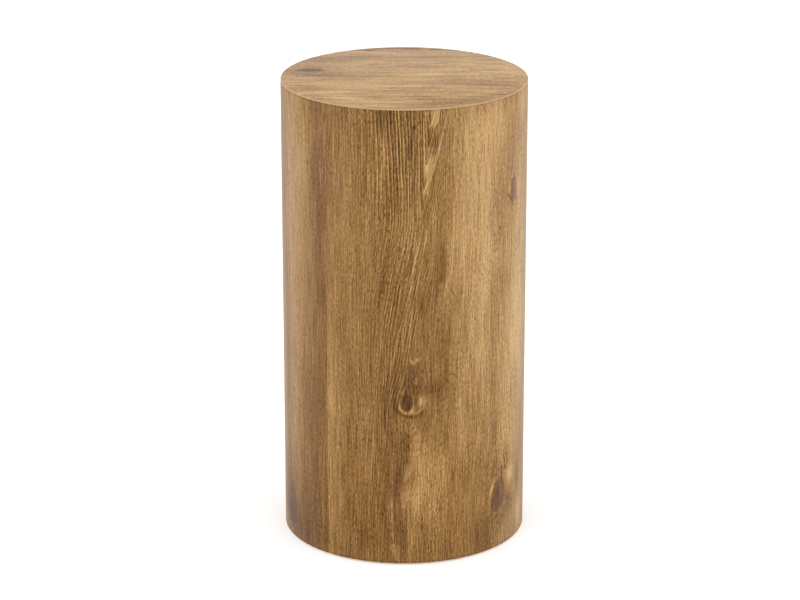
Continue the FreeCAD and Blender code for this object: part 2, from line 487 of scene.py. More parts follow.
SIDE_DETAILS = table(
    Stroke,
    # Dark grain in the middle
    (24, 478, 3, 16, -0.14, 0, 4),
    (30, 466, 5.5, 10, -0.26, 0.3, 6),
    (20.5, 391, 2.6, 11, -0.2),
    (15, 396, 1.8, 12, 0.14),
    (39.5, 319, 2.2, 5, -0.22, 0.25, 6),
    (18, 290, 2.6, 12, -0.22, 0, -4),
    # The lower knot in the middle: the dark wood above it, its light patch and flecks
    (9, 203, 13, 15, -0.18, 0.2),
    (8, 220, 9, 14, -0.09, 0.1),
    (31, 198, 8, 8, -0.14, 0, 20),
    (12.6, 185, 1.8, 7, -0.22, 0.1),
    (17.4, 185.4, 5, 5.6, 0.36, 0, -10),
    (5.2, 180.5, 3.5, 6, -0.14),
    (9.4, 173.6, 2.8, 1.7, 0.34, 0, 30),
    (8, 228.5, 3.2, 2.2, 0.42, 0, 60),
    (13.6, 231, 1.8, 2.8, 0.4),
    (12, 208, 1.6, 3.4, 0.4, 0, 10),
    (-11, 176, 6, 13, -0.12, 0.1),
    (5, 146.5, 1, 2, -0.2),
    # Beside the dark column
    (-13.3, 54, 0.9, 5, 0.28),
    (-13.6, 70, 1.1, 6, 0.22),
    (-12.8, 35, 0.8, 6, 0.24, 0, -2),
    (-11.5, 23, 1.3, 3, 0.26, 0, -20),
    (19.5, 44, 1.4, 6, -0.18, 0.1, 10),
    # The upper knot on the right: its grain, its light sliver, the curl below and the rims
    (139.6, 396, 2, 5, -0.1),
    (133.8, 399, 1.4, 8, -0.12),
    (142.5, 402, 2.4, 6, 0.08),
    (130.4, 400, 2.4, 6.5, 0.28, 0, 4),
    (129.2, 391.5, 1.8, 5.5, -0.26, 0.35, -52),
    (133.5, 386.5, 1.4, 5, -0.2, 0.35, -62),
    (136.5, 380.5, 1.3, 4, -0.12, 0.2, -64),
    (135, 411, 3, 0.9, 0.2),
    (145.5, 385, 2.6, 5, -0.12, 0.25, 14),
    # The lower knot on the right: its dark heart, the curl above it, light wood on both sides
    (114, 65.5, 3.6, 5.5, -0.11, 0.1),
    (119.5, 66, 2.4, 8, 0.1, 0, 10),
    (106.5, 56, 2.4, 8, -0.18, 0, 8),
    (113, 53, 1.2, 7, -0.14, 0, 16),
    (117, 48, 2.2, 6, -0.1, 0.2, 30),
    (120, 85, 2, 6, -0.26, 0.3, 12),
    (122, 91, 4, 1.8, -0.18, 0.3, 30),
    (127, 88, 3.6, 2, -0.16, 0.3),
    (104.4, 72, 1.5, 8, 0.32, 0, 18),
    (112, 37, 2.6, 3, -0.26, 0.2, 30),
    (109.5, 42, 2.2, 1.2, 0.26, 0, 20),
    (99, 48, 1.6, 6, 0.18, 0, 10),
    (136, 79, 8, 11, 0.42),
    (127.5, 58, 3, 5, -0.14, 0.3),
    (133, 54, 2.4, 2.4, -0.18, 0.3),
)

# Soft strokes of the side behind, out of the camera's sight

BACK_STROKES = table(
    Stroke,
    # On the right: golden wood, a dull band and a plain plank with coarse grain
    (196, 300, 18, 240, 0.16, 0.1),
    (214, 130, 10, 140, -0.14, 0.45, 2),
    (232, 400, 9, 120, -0.14, 0.5, -2),
    (256, 220, 13, 160, 0.22),
    (300, 370, 26, 110, -0.12, 0, 2),
    (283, 90, 16, 80, -0.1, 0.15),
    (330, 180, 16, 130, 0.24, 0, -2),
    (352, 400, 18, 110, 0.28),
    (372, 90, 12, 120, -0.16, 0.4),
    (395, 280, 10, 170, 0.1, 0.2),
    # On the left: tan wood, dark streaks and a light stripe
    (-190, 420, 14, 110, -0.08, 0.4),
    (-196, 180, 18, 150, 0.12, 0.35),
    (-228, 330, 14, 180, 0.24, 0.2, 2),
    (-240, 80, 12, 100, -0.16, 0.3, -2),
    (-268, 180, 22, 120, -0.08, 0, -3),
    (-300, 420, 20, 90, -0.08, 0.15),
    (-318, 200, 14, 180, 0.26),
    (-345, 400, 16, 140, 0.1, 0.3),
    (-362, 110, 12, 130, -0.16, 0.35, 2),
    (-392, 260, 14, 220, 0.12, 0.2),
)

# Where the side's pores are thickest, and where its grain is calmest

COARSE_ZONE = Stroke(0, 460, 42, 110, 0.10, lean=2)
CALM_ZONE = Stroke(-110, 340, 70, 240, 0.27)

# Hearts that the growth lines of the side close about, and where the lines show: the tone is how strongly

SIDE_HEARTS = (
    Heart(-34.0, 0.10, table(
        Stroke,
        (0, 470, 38, 90, 1, 0, 2),
        (4, 300, 18, 110, 0.5, 0, 8),
        (-24, 180, 22, 120, 0.45, 0, 4),
        (30, 70, 26, 80, 0.35, 0, 4),
    )),
    Heart(284.0, 0.04, table(
        Stroke,
        (300, 340, 30, 150, 1.1, 0, 2),
        (286, 60, 22, 110, 0.45),
    )),
    Heart(-262.0, -0.06, table(
        Stroke,
        (-270, 140, 26, 130, 0.95, 0, -3),
        (-292, 440, 20, 100, 0.7, 0, -3),
    )),
)

# Single lines of the side that stand out

SIDE_LINES = table(
    Stroke,
    (33, 448, 0.9, 42, 0.28, 0, 14.5),
    (30.4, 450, 0.8, 36, -0.18, 0, 14.5),
    (36, 448, 0.8, 40, -0.14, 0, 14),
    (20.6, 455, 1, 55, 0.26),
    (17.7, 445, 0.9, 38, -0.2, 0, 1),
    (13.8, 462, 0.9, 40, 0.22, 0, -2),
    (22.6, 363, 1.4, 11, 0.22, 0, 12),
    (11.6, 357, 1.8, 22, 0.14, 0, 4),
    (-36, 447, 0.8, 60, 0.18, 0, 4),
    (-21, 455, 0.8, 50, 0.2, 0, 3),
    (-0.5, 450, 0.7, 55, 0.16),
    (10, 458, 0.8, 50, 0.16, 0, 4),
    (13, 312, 1, 62, 0.34, 0, 9.8),
    (8, 318, 1.4, 60, 0.26, 0, 9),
    (3, 345, 1, 30, 0.18, 0, 5),
    (-5, 300, 0.9, 55, 0.22, 0, 5),
    (-14, 320, 1.2, 28, 0.16, 0, 4),
    (19.5, 290, 0.7, 40, 0.1, 0, 2),
    (11.3, 308, 0.7, 45, -0.26, 0, 9.5),
    (-12.5, 70, 0.7, 45, 0.2),
    (-20.5, 65, 0.5, 70, -0.16),
)

# Arches of the side, where a growth layer ends in a point. Lean and opening are per millimetre upwards.

SIDE_ARCHES = table(
    Arch,
    (30, 477.5, 0.1, 0.55, 4.8, 30, 0.24, -0.26),
    (21.8, 408, 0.128, 0.125, 14, 44, 0.32, 0),
    (6, 148, 0, 0.75, 6, 7, 0, 0.34),
    (5, 154, 0, 0.6, 4.5, 7, -0.08, 0.26),
    (-0.8, 93, 0.36, 0.22, 3.6, 18, 0.16, 0.18),
    (-0.5, 64, 0.06, 0.25, 4.6, 24, 0.12, 0.16),
    (-6, 3, -0.2, 0.3, 5, 20, 0.18, 0.18),
)

# Sharp edges along the grain: between two planks, beside the dark column and beside the golden wood

SIDE_EDGES = table(
    Edge,
    (-87.2, -40, 300, 0, 0.3, 12, 0.22),
    (5.5, 118, 156, 0, 0.8, 10, 0.26),
    (-4.5, 76, 92, 0.12, 1, 8, 0.14),
    (3, 15, 50, 0, 1, 9, 0.2),
    (-14, 5, 110, 0, 0.6, 6, -0.08),
    (106.5, 0, 24, 0, 1, 12, 0.22),
    (243, -40, 560, 0, 0.3, 12, 0.16),
    (-211, 60, 560, 0, 0.3, 12, -0.14),
    (43, 312, 385, 0.03, 2, 14, 0.12),
)

# Knots in front and behind

FRONT_KNOTS = table(
    Knot,
    (139.4, 397, 7, 13.5, 2, -0.2, 0.95),
    (2.8, 183.5, 6.6, 10.6, 4, -0.28, 0.2),
    (113.8, 61, 10.5, 19, 13, -0.2, 0.75),
    (-155, 27, 8, 17, -12, -0.16, 1),
)

BACK_KNOTS = table(
    Knot,
    (292, 205, 8, 14, -6, -0.22, 0.5),
    (-238, 395, 6, 11, 5, -0.22, 0.5),
    (-330, 92, 9, 15, -8, -0.2, 0.6),
)

SIDE_KNOTS = FRONT_KNOTS + BACK_KNOTS

# Parts of rings in and round the knots in front: each is strongest towards its side

FRONT_CRESCENTS = table(
    Crescent,
    (2.8, 183.5, 7.8, 12.2, 0, 1.1, -3, 175, 6.5, 0.42),
    (3.5, 183, 6, 11, 0, 0.7, 9.5, 180, 8, 0.36),
    (7, 184, 14.5, 13, 0, 0.8, 17, 174, 7, 0.26),
    (7.5, 184.5, 18, 16.5, 0, 2.4, 6, 168, 16, -0.3),
    (9, 196, 13.5, 26, 0, 0.8, -4, 206, 7, 0.24),
    (9, 196, 14.5, 26, 0, 0.8, 23, 208, 6, 0.28),
    (113.8, 61, 10, 18.5, 13, 1.4, 108, 52, 16, -0.14),
    (113.8, 61, 10, 18.5, 13, 1.4, 121, 76, 12, -0.12),
    (114.5, 64, 3.2, 8, 13, 3.2, 114.5, 64, 9, -0.1),
    (113.8, 61, 12.6, 21.5, 13, 1.2, 103, 66, 12, 0.24),
    (113.8, 61, 12.6, 21.5, 13, 1.2, 126, 62, 10, 0.14),
    (139.4, 397, 6.6, 13, 2, 1.2, 134, 404, 9, -0.16),
    (139.4, 397, 8.6, 15.5, 2, 1.2, 148, 398, 9, 0.12),
)

# Small dark dots of the side

SIDE_DOTS = table(
    Stroke,
    (-114, 431, 1.5, 2, -0.34),
    (-113.5, 424, 1.2, 4, -0.14),
    (-88.5, 484, 1.6, 6, -0.22, 0, 10),
    (-100, 271, 0.9, 1.6, -0.3),
    (-71, 131, 0.9, 1.6, -0.3),
    (65, 55, 0.9, 1.6, -0.3),
    (106.5, 400, 1.2, 1.2, -0.28),
    (103, 386, 1.2, 2.5, -0.24),
    (112, 377.5, 1.2, 2, -0.28),
    (113.4, 360.5, 1.8, 2.2, -0.32),
    (104, 355.5, 1.1, 1.8, -0.24),
    (107, 348, 1.2, 1.8, -0.28),
    (107.6, 339.5, 1.2, 2, -0.28),
    (10, 481, 1.6, 2.2, -0.35),
    (17.8, 463, 1.4, 2.2, -0.35),
    (-29.5, 432, 0.9, 2.2, -0.3),
    (8, 416, 1, 1.8, -0.3),
)

# Soft strokes of the top: across from its middle to the back, along to the right

TOP_STROKES = table(
    Stroke,
    # Dull wood round the knot at the left and below it
    (29, -98, 9, 18, -0.08, 0.2),
    (2, -88, 14, 26, -0.1, 0.25),
    # Dull streaks at the back
    (78, -55, 14, 50, -0.09, 0.2),
    # Light bands across the middle and at the front left
    (12, 22, 5, 46, 0.14, 0, 3),
    (25, 5, 9, 60, 0.08),
    (70, 70, 26, 60, 0.04),
    (-34, 10, 10, 70, 0.07),
    (-64, -80, 10, 38, 0.15),
    # Dark streaks at the right
    (-22, 96, 8, 36, -0.11, 0.1),
    (-92, 80, 12, 26, -0.1, 0.2),
)

# Small clear marks of the top: the knot, and dark marks at the back edge and along the grain

TOP_DETAILS = table(
    Stroke,
    (29, -102, 6.5, 10, -0.5, 0.4),
    (30, -89, 5.5, 5, -0.24, 0.35),
    (20, -107, 2.5, 6, 0.24),
    (121, 10, 4.5, 10, -0.46, 0.4),
    (115, -38, 4.5, 6, -0.26, 0.3),
    (118, 34, 3.5, 7, -0.3, 0.3),
    (53, -31, 4, 9, -0.26, 0.25),
    (-82, -31, 4, 12, -0.24, 0.2),
    (8, -100, 4, 8, -0.16, 0.3),
    (4, -84, 4, 7, -0.12, 0.25),
)

# How edges fade at their ends, and how the grain flows round knots

EDGE_FADE = 15.0
KNOT_PUSH = 0.70
KNOT_REACH = 2.6

# Growth lines: the heart's width, the lines' spacing and how steeply they climb

HEART_WIDTH = 2.0
LINE_SPACING = 2.9
ARCH_FOOT = 380.0
ARCH_CLIMB = 32.0
LOW_CLIMB = 90.0

# The grain's shift to the right as it climbs the side: how far, between which heights and how wide

GRAIN_SHIFT = 12.0
SHIFT_CLIMB = (245.0, 385.0)
SHIFT_MIDDLE = 8.0
SHIFT_HALF_WIDTH = 60.0

# Heights between which the side darkens at its rim and at its foot, and warms towards its foot: all painted
# shade, a shadow line under the rim, contact shade at the foot and light falling off towards the floor

PAINTED_RIM_SHADE = (496.0, 498.5)
PAINTED_FOOT_SHADE = (7.0, 2.5)
PAINTED_FOOT_SHADE_HEIGHTS = (200.0, 15.0)

# The tone and the stain of plain wood, and tints of its colour

SIDE_TONE = 0.517
TOP_TONE = 0.67
TOP_STAIN = 0.28
WARM_TINT = (1.02, 0.98, 0.97)
# Tint of painted shade: warmer and slightly darker towards the foot
PAINTED_FOOT_SHADE_TINT = (1.015, 0.99, 0.93)


def add_strokes(finish, place, strokes):
    """The tone and the stain that soft strokes add."""
    tone = 0.0
    stain = 0.0
    for stroke in strokes:
        spot = finish.spot(place, stroke)
        tone = finish.weigh(spot, stroke.tone, tone)
        if stroke.stain:
            stain = finish.weigh(spot, stroke.stain, stain)
    return [tone, stain]


def add_arches(finish, place, arches):
    """The tone that pointed arches add, each with a filled inside and an outline, and where they lie."""
    across, along = place
    tone = 0.0
    cover = 0.0
    for arch in arches:
        rise = along - arch.along
        off = finish.math("ABSOLUTE", across - arch.across - rise * arch.lean)
        half = finish.math("MINIMUM", finish.math("MAXIMUM", rise * arch.open, 0.0), arch.half_width)
        gap = off - half
        height = finish.ease(rise, -0.5, 1.5) * finish.ease(rise, arch.reach * 1.2, arch.reach * 0.7)
        inside = finish.ease(gap, 0.5, -0.5)
        edge = finish.band(gap, 0.4, 0.7)
        tone = (inside * arch.fill + edge * arch.outline) * height + tone
        cover = finish.math("MAXIMUM", inside * height, cover)
    return [tone, cover]


def add_edges(finish, values, edges):
    """The tone of sharp edges along the grain: darker on the left of each and lighter on its right."""
    across, along, rough = values
    tone = 0.0
    for edge in edges:
        off = across - edge.across - (along - edge.low) * edge.lean - rough * edge.wander
        step = finish.ease(off, -0.8, 0.8) - 0.5
        above = finish.ease(along, edge.low - EDGE_FADE, edge.low + EDGE_FADE)
        below = finish.ease(along, edge.high + EDGE_FADE, edge.high - EDGE_FADE)
        near = finish.band(off, 0.0, edge.reach) * above * below
        tone = finish.weigh(step * near, edge.tone, tone)
    return [tone]


def add_knots(finish, values, knots):
    """The tone and the stain of the knots, and where they lie."""
    *place, rough = values
    tone = 0.0
    stain = 0.0
    cover = 0.0
    for knot in knots:
        out = finish.math("SQRT", finish.from_middle(place, knot)) + rough * 0.10
        core = finish.ease(out, 1.12, 0.75)
        tone = finish.weigh(core, knot.core, tone)
        stain = finish.weigh(core, knot.stain, stain)
        cover = finish.math("MAXIMUM", core, cover)
    return [tone, stain, cover]


def rings_of(knot):
    """Parts of rings for a knot behind: a dark heart, a dark rim, and light wood beside and below it."""
    wide, long = knot.half_width, knot.half_length
    rings = (
        (0.40, 0.35, 0.1, 0.2, 1.0, -0.14),
        (0.95, 0.14, -1.0, 0.0, 1.2, -0.14),
        (0.70, 0.08, 0.6, -0.3, 0.8, 0.12),
        (1.20, 0.13, -0.6, -1.0, 1.1, 0.34),
        (1.28, 0.12, 1.1, 0.3, 1.0, 0.24),
        (1.55, 0.20, 0.0, -1.5, 1.5, -0.16),
    )
    for size, thickness, side_across, side_along, reach, tone in rings:
        yield Crescent(
            knot.across, knot.along, wide * size, long * size, knot.lean, wide * thickness,
            knot.across + wide * side_across, knot.along + long * side_along, wide * reach, tone,
        )


def add_crescents(finish, values, crescents):
    """The tone of parts of oval rings, each strongest at one side of its ring."""
    *place, rough = values
    tone = 0.0
    for part in crescents:
        out = finish.math("SQRT", finish.from_middle(place, part)) + rough * 0.06
        ring = finish.band(out, 1.0, part.thickness / part.half_width)
        side = Stroke(part.side_across, part.side_along, part.reach, part.reach, part.tone)
        tone = finish.weigh(ring * finish.spot(place, side), part.tone, tone)
    return [tone]


def bend_round_knots(finish, place, knots):
    """The place across the grain, drawn aside where the grain flows round the knots."""
    across, _ = place
    flow = across
    for knot in knots:
        wide, long = knot.half_width * KNOT_REACH, knot.half_length * KNOT_REACH
        near = finish.spot(place, knot._replace(half_width=wide, half_length=long))
        flow = flow - near * KNOT_PUSH * (across - knot.across)
    return [flow]


def growth_lines(finish, values, heart):
    """The tone of growth lines that close in arches about a heart, in the heart's zones."""
    flow, along, *soft = values
    where, _ = add_strokes(finish, soft, heart.zones)
    place = finish.point(flow, along)
    off = flow - heart.foot - along * heart.lean
    reach = finish.math("SQRT", off * off + HEART_WIDTH ** 2)
    wander = finish.noise(place, (10.0, 90.0), 3.0) * 0.40
    upper = finish.math("MAXIMUM", along - ARCH_FOOT, 0.0)
    phase = reach / LINE_SPACING - along / LOW_CLIMB - upper / ARCH_CLIMB + wander
    saw = finish.math("FRACT", phase)
    line = finish.math("FLOOR", phase)
    own = finish.node("ShaderNodeTexWhiteNoise", {"noise_dimensions": "1D"}, {"W": line})
    broken = finish.noise(place, (2.0, 60.0), 83.0) * 0.25
    strength = own * 0.6 + 0.25
    light = finish.ease(saw, 0.40, 0.05) * (strength + broken)
    dark = finish.ease(saw, 0.40, 0.85) * (1.3 - strength)
    return [(light * 0.80 - dark * 0.31) * where]


def threads(finish, place, size, seed):
    """Thin lines along the grain: 1 on a line and 0 between the lines."""
    height = finish.math("ABSOLUTE", finish.noise(place, size, seed, detail=1.0))
    return finish.ease(height, 0.22, 0.0)


def fibres(finish, place):
    """Streaks from broad to fine, thin dark and light lines, and short dashes."""
    broad = finish.noise(place, (14.0, 200.0), 11.0) * 0.06
    middle = finish.noise(place, (4.5, 120.0), 23.0) * 0.045
    fine = finish.noise(place, (1.0, 40.0), 37.0, detail=1.0) * 0.21
    dash = finish.noise(place, (0.9, 4.6), 43.0, detail=0.0) * 0.125
    dark = threads(finish, place, (1.9, 100.0), 57.0) * 0.09
    light = threads(finish, place, (2.3, 120.0), 67.0) * 0.09
    return broad + middle + fine + dash + light - dark


def pores(finish, place, more=0.0):
    """Short dark dashes and dots along the grain, thicker in some places than in others."""
    crowd = finish.noise(place, (30.0, 90.0), 61.0) * 0.30 + more
    dash = finish.ease(finish.noise(place, (1.0, 5.5), 53.0, detail=0.0) + crowd, 0.55, 0.90)
    dot = finish.ease(finish.noise(place, (1.6, 2.4), 73.0, detail=0.0) + crowd, 0.65, 0.95)
    return finish.math("MAXIMUM", dash, dot)


def wood_colour(finish, tone, stain, colours):
    """The wood's colour for a tone from 0, dark, to 1, pale, drawn towards the stain's dull brown."""
    stops = (
        (0.00, colours.knot),
        (0.18, colours.deep),
        (0.34, colours.dark),
        (0.54, colours.middle),
        (0.78, colours.light),
        (1.00, colours.pale),
    )
    plain = finish.node("ShaderNodeValToRGB", {"stops": stops}, {"Fac": tone})
    dull_stops = (
        (0.00, colours.stain_deep),
        (0.42, colours.stain),
        (0.85, colours.dull),
        (1.00, [part * 1.15 for part in colours.dull]),
    )
    dull = finish.node("ShaderNodeValToRGB", {"stops": dull_stops}, {"Fac": tone})
    return finish.blend(stain, plain, dull)


def satin(finish, colour, streaks, dashes):
    """The satin face of a laminate, with the print's grain pressed into it."""
    normal = finish.bump(streaks - dashes * 0.2, 0.05 * MM)
    return finish.surface(colour, streaks * 0.15 + 0.44, normal, **{"Specular IOR Level": 0.22})


def sheet_place(finish, sheet):
    """A place on the sheet of the side: across from the middle of the front, and along from the floor."""
    left, foot, _ = finish.split(finish.node("ShaderNodeUVMap", {"uv_map": SHEET_MAP}))
    width = (2 * math.pi * DRUM_RADIUS - sheet.seam_gap) / MM
    height = (SIDE_HIGH.z - SIDE_LOW.z) / MM
    return left * width - width / 2, foot * height + SIDE_LOW.z / MM


def side_flow(finish, across, along):
    """The place across the grain of the side, which sways slowly and flows round the knots."""
    [flow] = finish.grouped("flow", bend_round_knots, (across, along), SIDE_KNOTS)
    slow = finish.noise(finish.point(across, along), (70.0, 260.0), 5.0)
    near = finish.band(across, SHIFT_MIDDLE, SHIFT_HALF_WIDTH)
    return flow + slow * 3.0 - finish.ease(along, *SHIFT_CLIMB) * near * GRAIN_SHIFT


def side_figure(finish, across, along, flow, fray):
    """The tone and the stain of all the side's marks, and how coarse and how plain they leave the grain."""
    soft = (across + fray * 1.6, along + fray * 14.0)
    crisp = (across + fray * 0.5, along)
    tone, stain = finish.grouped("strokes", add_strokes, soft, SIDE_STROKES + BACK_STROKES)
    for heart in SIDE_HEARTS:
        [lines] = finish.grouped("growth", growth_lines, (flow, along, *soft), heart)
        tone = tone + lines
    for marks in (SIDE_DETAILS, SIDE_LINES, SIDE_DOTS):
        marks_tone, marks_stain = finish.grouped("marks", add_strokes, crisp, marks)
        tone = tone + marks_tone
        stain = stain + marks_stain
    arches, arch_cover = finish.grouped("arches", add_arches, crisp, SIDE_ARCHES)
    rings = [ring for knot in BACK_KNOTS for ring in rings_of(knot)]
    [crescents] = finish.grouped("crescents", add_crescents, (*crisp, fray), FRONT_CRESCENTS + rings)
    [edges] = finish.grouped("edges", add_edges, (across, along, fray), SIDE_EDGES)
    knots, knot_stain, knot_cover = finish.grouped("knots", add_knots, (*crisp, fray), SIDE_KNOTS)
    tone = tone + arches + crescents + edges + knots
    calm = finish.spot(soft, CALM_ZONE) * CALM_ZONE.tone
    smooth = finish.math("MAXIMUM", finish.math("MAXIMUM", knot_cover, arch_cover) * 0.55, calm)
    coarse = finish.spot(soft, COARSE_ZONE) * COARSE_ZONE.tone
    return tone, stain + knot_stain, coarse, 1.0 - smooth


def side_print(colours, sheet):
    """The printed wood of the side, on the sheet's own map."""
    finish = Finish("side_print")
    across, along = sheet_place(finish, sheet)
    flow = side_flow(finish, across, along)
    grain = finish.point(flow, along)
    fray = finish.noise(grain, (2.5, 40.0), 71.0)
    tone, stain, coarse, plain = side_figure(finish, across, along, flow, fray)
    dashes = pores(finish, grain, coarse) * plain
    streaks = fibres(finish, grain) * plain
    # Painted shade: a thin shadow line under the top's rim and darker wood at the foot, where the side
    # meets the floor
    ends = finish.ease(along, *PAINTED_RIM_SHADE) * 0.06 + finish.ease(along, *PAINTED_FOOT_SHADE) * 0.12
    tone = tone + SIDE_TONE + streaks * 1.1 - dashes * 0.20 - ends
    warm = finish.ease(finish.noise(grain, (16.0, 130.0), 91.0), -0.2, 0.7)
    colour = wood_colour(finish, tone, stain, colours)
    # The random warm tint is the wood's own colour; the tint towards the foot is painted shade
    for share, tint in ((warm, WARM_TINT), (finish.ease(along, *PAINTED_FOOT_SHADE_HEIGHTS), PAINTED_FOOT_SHADE_TINT)):
        tinted = finish.node("ShaderNodeVectorMath", {"operation": "MULTIPLY"}, {0: colour, 1: tint})
        colour = finish.blend(share, colour, tinted)
    return satin(finish, colour, streaks, dashes)


def top_print(colours, disc):
    """The printed wood of the top, with its grain from left to right, and on the bevel a pale core colour
    that is partly the laminate's core and partly a painted highlight along the rim.
    """
    finish = Finish("top_print")
    where = finish.node("ShaderNodeTexCoord", outlet="Object")
    right, back, _ = finish.split(where)
    along = right / MM
    across = back / MM
    slow = finish.noise(finish.point(across, along), (60.0, 200.0), 105.0)
    grain = finish.point(across + slow * 3.0, along)
    fray = finish.noise(grain, (2.5, 40.0), 171.0)
    soft = (across + slow * 2.0 + fray * 1.2, along + fray * 10.0)
    tone, stain = finish.grouped("top_strokes", add_strokes, soft, TOP_STROKES)
    crisp = (across + fray * 0.5, along + fray * 2.0)
    marks, marks_stain = finish.grouped("top_marks", add_strokes, crisp, TOP_DETAILS)
    streaks = fibres(finish, grain)
    dashes = pores(finish, grain)
    wide = finish.noise(grain, (22.0, 80.0), 111.0) * 0.16
    narrow = finish.noise(grain, (8.0, 60.0), 121.0) * 0.12
    tone = tone * 1.3 + marks + wide + narrow + TOP_TONE + streaks * 1.3 - dashes * 0.17
    colour = wood_colour(finish, tone, stain + marks_stain + TOP_STAIN, colours)
    # The bevel round the rim takes the core colour: partly the laminate's core, partly a painted highlight
    from_axis = finish.math("SQRT", right * right + back * back)
    rim = DRUM_RADIUS - disc.bevel
    core_and_highlight = finish.ease(from_axis, rim - disc.bevel / 8, rim + disc.bevel / 8)
    colour = finish.blend(core_and_highlight, colour, solid(colours.core))
    return satin(finish, colour, streaks, dashes)


# Finishes of the pieces under the laminate


def object_place(finish):
    """Object coordinates in millimetres."""
    where = finish.node("ShaderNodeTexCoord", outlet="Object")
    return finish.node("ShaderNodeVectorMath", {"operation": "SCALE"}, {0: where, "Scale": 1 / MM})


def fibreboard(colours):
    """Raw fibreboard: pressed fibres in fine specks and soft clouds."""
    finish = Finish("raw_fibreboard")
    place = object_place(finish)
    specks = finish.noise(place, (0.6, 0.6, 0.6), 7.0)
    flecks = finish.noise(place, (2.5, 2.5, 0.8), 17.0)
    clouds = finish.noise(place, (30.0, 30.0, 30.0), 29.0)
    light = specks * 0.10 + flecks * 0.10 + clouds * 0.08 + 0.5
    dark_side = solid(colours.fibreboard, 0.6)
    light_side = solid(colours.fibreboard, 1.4)
    colour = finish.blend(light, dark_side, light_side)
    return finish.surface(colour, clouds * 0.05 + 0.82, finish.bump(specks + flecks, 0.05 * MM))


def softwood(colours):
    """Planed softwood: pale early growth, darker lines of late growth and fine fibres upwards."""
    finish = Finish("planed_softwood")
    place = object_place(finish)
    x, y, _ = finish.split(place)
    sway = finish.noise(place, (20.0, 20.0, 200.0), 13.0)
    rings = finish.math("FRACT", (x * 0.8 + y * 0.6 + sway * 4.0) / 5.0)
    late = finish.ease(rings, 0.55, 0.95)
    fine = finish.noise(place, (0.6, 0.6, 14.0), 31.0)
    share = late * 0.8 + fine * 0.15
    colour = finish.blend(share, solid(colours.softwood), solid(colours.softwood_ring))
    return finish.surface(colour, fine * 0.05 + 0.62, finish.bump(fine, 0.05 * MM))


def zinc_steel(colours):
    """Zinc plating: bright metal in soft patches."""
    finish = Finish("zinc_plating")
    place = object_place(finish)
    patches = finish.noise(place, (1.5, 1.5, 1.5), 19.0)
    dull = solid(colours.zinc, 0.7)
    colour = finish.blend(patches * 0.4 + 0.4, solid(colours.zinc), dull)
    return finish.surface(colour, patches * 0.08 + 0.36, Metallic=1.0)


def glide_plastic(colours):
    """Moulded plastic with a fine leathery grain."""
    finish = Finish("glide_plastic")
    place = object_place(finish)
    grain = finish.noise(place, (0.5, 0.5, 0.5), 41.0)
    scuffs = finish.noise(place, (4.0, 4.0, 4.0), 43.0)
    worn = solid(colours.glide, 1.8)
    colour = finish.blend(finish.ease(scuffs, 0.1, 0.9), solid(colours.glide), worn)
    return finish.surface(colour, scuffs * 0.08 + 0.52, finish.bump(grain, 0.04 * MM))


# Modelling


def use_mode(mode):
    bpy.ops.object.mode_set(mode=mode)


def apply_place():
    """Puts the place, turn and scale of the selected piece into its mesh."""
    bpy.ops.object.transform_apply(location=True, rotation=True, scale=True)


def smooth_below(degrees):
    """Shades the selected piece smooth, with sharp edges where its faces meet at more than this angle."""
    bpy.ops.object.shade_smooth_by_angle(angle=math.radians(degrees))


def start_alone():
    """Nothing selected and object mode, so that an operator reaches only the new piece."""
    if bpy.context.object and bpy.context.object.mode != "OBJECT":
        use_mode("OBJECT")
    bpy.ops.object.select_all(action="DESELECT")


def apply_modifiers(piece):
    for modifier in list(piece.modifiers):
        bpy.ops.object.modifier_apply(modifier=modifier.name)


def select_parts(piece, kind, parts, wanted):
    """Selects the edges or the polygons that are wanted, and nothing else. Leaves edit mode open."""
    use_mode("EDIT")
    bpy.ops.mesh.select_mode(type=kind)
    bpy.ops.mesh.select_all(action="DESELECT")
    use_mode("OBJECT")
    for part in getattr(piece.data, parts):
        part.select = wanted(part)
    use_mode("EDIT")


def select_edges(piece, wanted):
    """Selects the edges whose two ends are both wanted."""

    def both_ends(edge):
        return all(wanted(piece.data.vertices[end].co) for end in edge.vertices)

    select_parts(piece, "EDGE", "edges", both_ends)


def tidy_mesh():
    """Merges doubles, turns all faces outwards and goes back to object mode."""
    bpy.ops.mesh.select_all(action="SELECT")
    bpy.ops.mesh.remove_doubles(threshold=MM / 1000)
    bpy.ops.mesh.normals_make_consistent(inside=False)
    use_mode("OBJECT")


def dress(piece, material, slot, *nodes):
    """Gives a piece its material and its body, and hides the nodes that it stands for. The slot is not
    used.
    """
    piece.data.materials.clear()
    piece.data.materials.append(material)
    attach(piece, BODY)
    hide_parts(*nodes)


